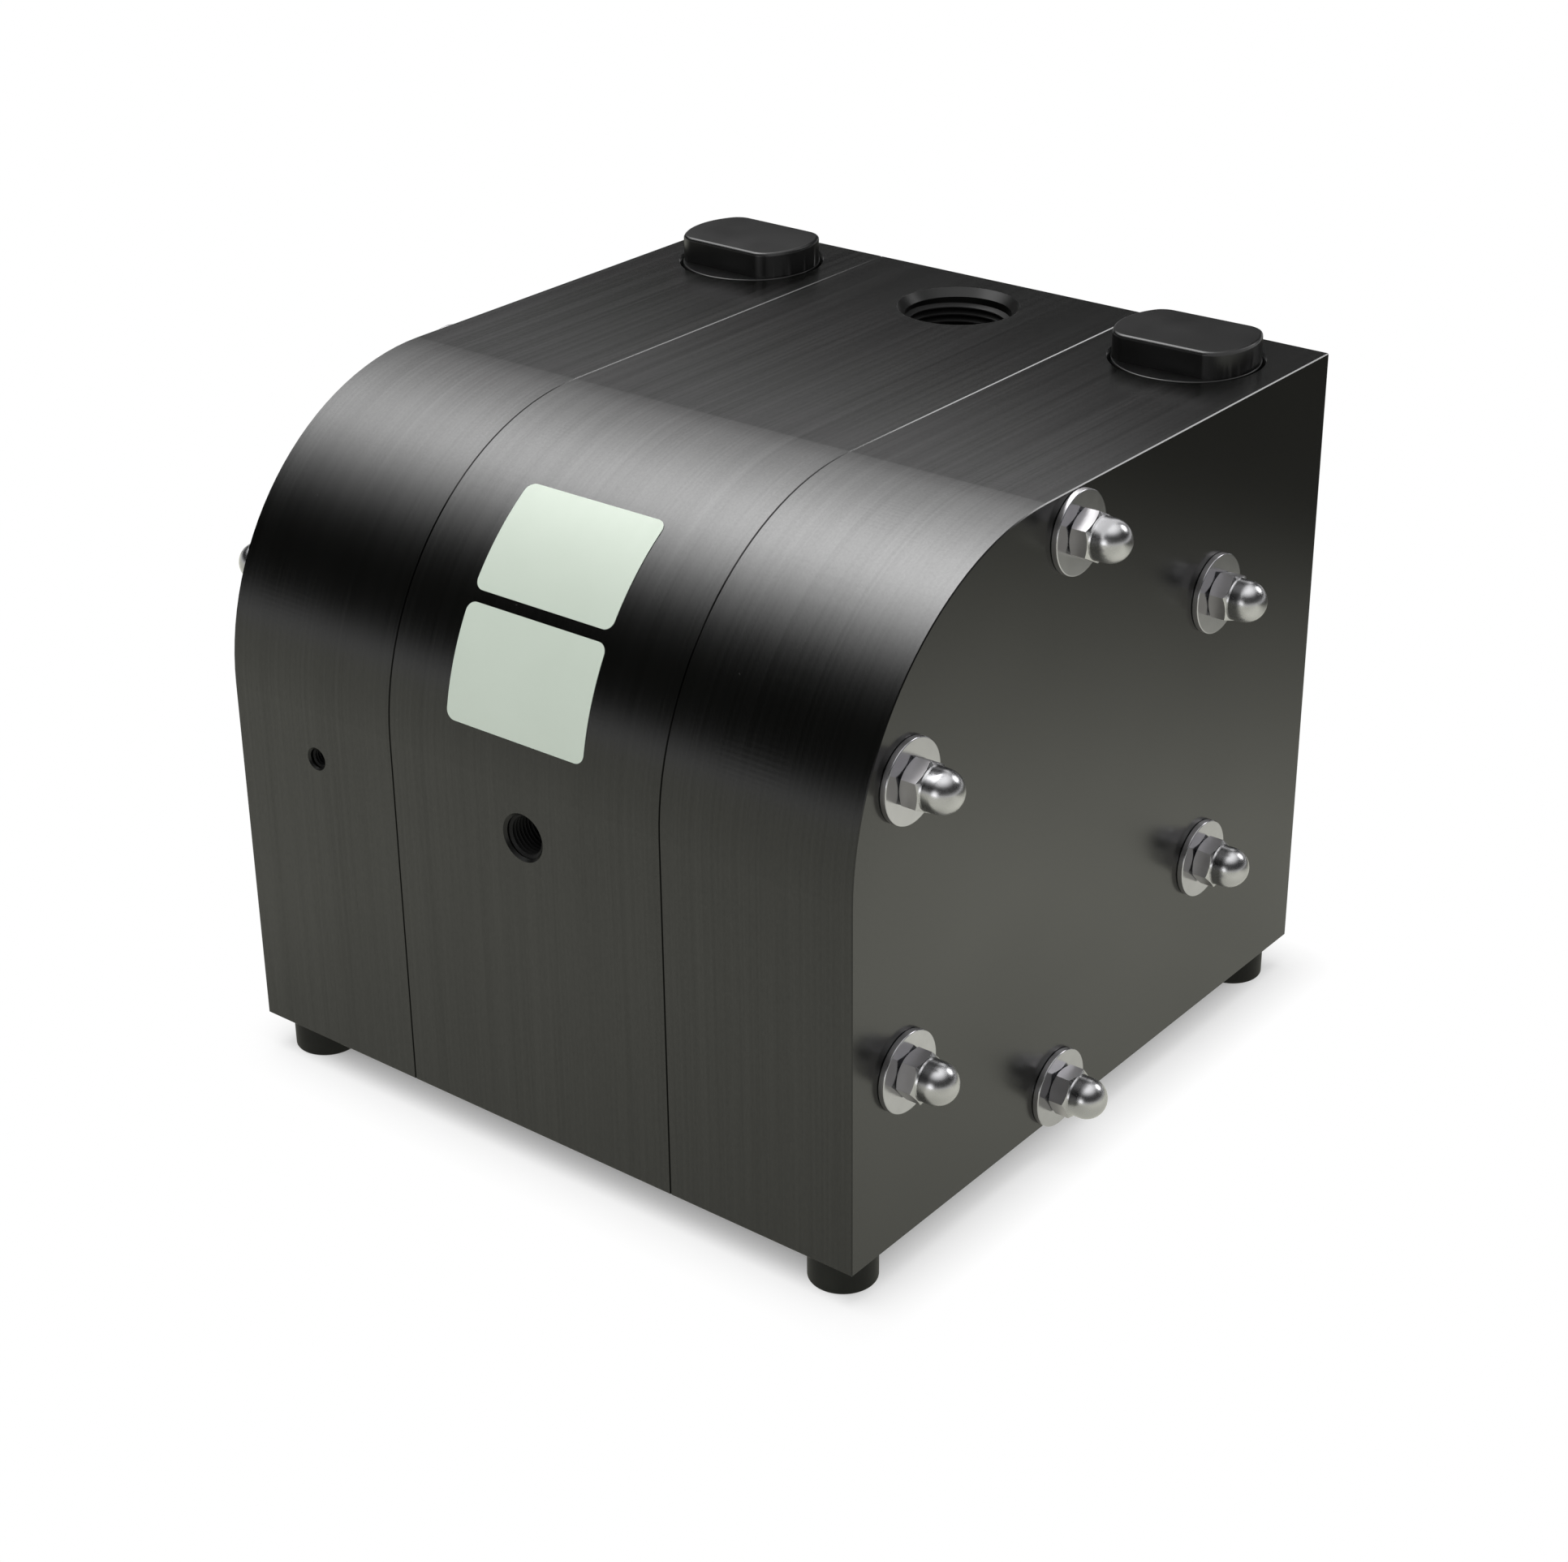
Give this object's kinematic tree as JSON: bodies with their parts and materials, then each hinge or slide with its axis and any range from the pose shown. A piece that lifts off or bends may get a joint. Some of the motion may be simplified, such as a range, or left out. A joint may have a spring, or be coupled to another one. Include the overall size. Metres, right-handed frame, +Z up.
{
  "type": "air operated diaphragm pump",
  "caption": "Block shaped air operated double diaphragm pump on rubber feet, held by tie rods with domed nuts, with a large round front shoulder, ports on top and behind, and an air inlet.",
  "frame": {"origin": "on the floor, under the middle of the block", "axes": "+X along the diaphragm rod towards the right block, +Y from the front with the air inlet to the rear, +Z up through the discharge port"},
  "size_m": [0.262, 0.234, 0.2172],
  "materials": {
    "block_plastic": "near-black conductive polyethylene, machined, satin with fine milling streaks",
    "black_plastic": "black machined plastic, satin with bright edges",
    "stainless_steel": "stainless steel, domes polished, washers satin",
    "foot_rubber": "black rubber",
    "seal_rubber": "dark fluoro rubber",
    "white_ptfe": "white PTFE, waxy",
    "bronze": "turned bronze",
    "porous_plastic": "sintered, porous, off-white"
  },
  "bodies": {
    "pump_body": {"centre_housing": "block_plastic", "right_housing": "block_plastic", "left_housing": "block_plastic", "tie_rods": "stainless_steel", "washers": "stainless_steel", "dome_nuts": "stainless_steel", "right_membrane": "white_ptfe", "left_membrane": "white_ptfe", "rod_bushes": "bronze", "rod_seals": "seal_rubber", "valve_sleeve": "bronze", "valve_end_caps": "black_plastic", "end_cap_o_rings": "seal_rubber", "end_cap_rings": "stainless_steel", "silencer_pad": "porous_plastic", "silencer_cover": "black_plastic", "silencer_screws": "stainless_steel", "passage_o_rings": "seal_rubber", "right_column_plug": "black_plastic", "left_column_plug": "black_plastic", "column_plug_o_rings": "seal_rubber", "feet": "foot_rubber", "foot_studs": "stainless_steel", "foot_inserts": "stainless_steel", "right_suction_seat": "white_ptfe", "right_suction_guide": "block_plastic", "right_discharge_seat": "white_ptfe", "right_discharge_guide": "block_plastic", "left_suction_seat": "white_ptfe", "left_suction_guide": "block_plastic", "left_discharge_seat": "white_ptfe", "left_discharge_guide": "block_plastic"},
    "rod": {"diaphragm_rod": "stainless_steel", "right_diaphragm_core": "stainless_steel", "left_diaphragm_core": "stainless_steel"},
    "spool": {"valve_spool": "stainless_steel"},
    "right_suction_valve": {"right_suction_ball": "white_ptfe"},
    "right_discharge_valve": {"right_discharge_ball": "white_ptfe"},
    "left_suction_valve": {"left_suction_ball": "white_ptfe"},
    "left_discharge_valve": {"left_discharge_ball": "white_ptfe"}
  },
  "joints": [
    {"name": "rod_slide", "type": "slide", "parent": "pump_body", "child": "rod", "axis": [1, 0, 0], "range_m": [-0.008, 0.008], "deforming": ["right_membrane", "left_membrane"]},
    {"name": "spool_slide", "type": "slide", "parent": "pump_body", "child": "spool", "axis": [1, 0, 0], "range_m": [0, 0.008]},
    {"name": "right_suction_lift", "type": "slide", "parent": "pump_body", "child": "right_suction_valve", "axis": [0, 0, 1], "range_m": [0, 0.007]},
    {"name": "right_discharge_lift", "type": "slide", "parent": "pump_body", "child": "right_discharge_valve", "axis": [0, 0, 1], "range_m": [0, 0.007]},
    {"name": "left_suction_lift", "type": "slide", "parent": "pump_body", "child": "left_suction_valve", "axis": [0, 0, 1], "range_m": [0, 0.007]},
    {"name": "left_discharge_lift", "type": "slide", "parent": "pump_body", "child": "left_discharge_valve", "axis": [0, 0, 1], "range_m": [0, 0.007]}
  ]
}
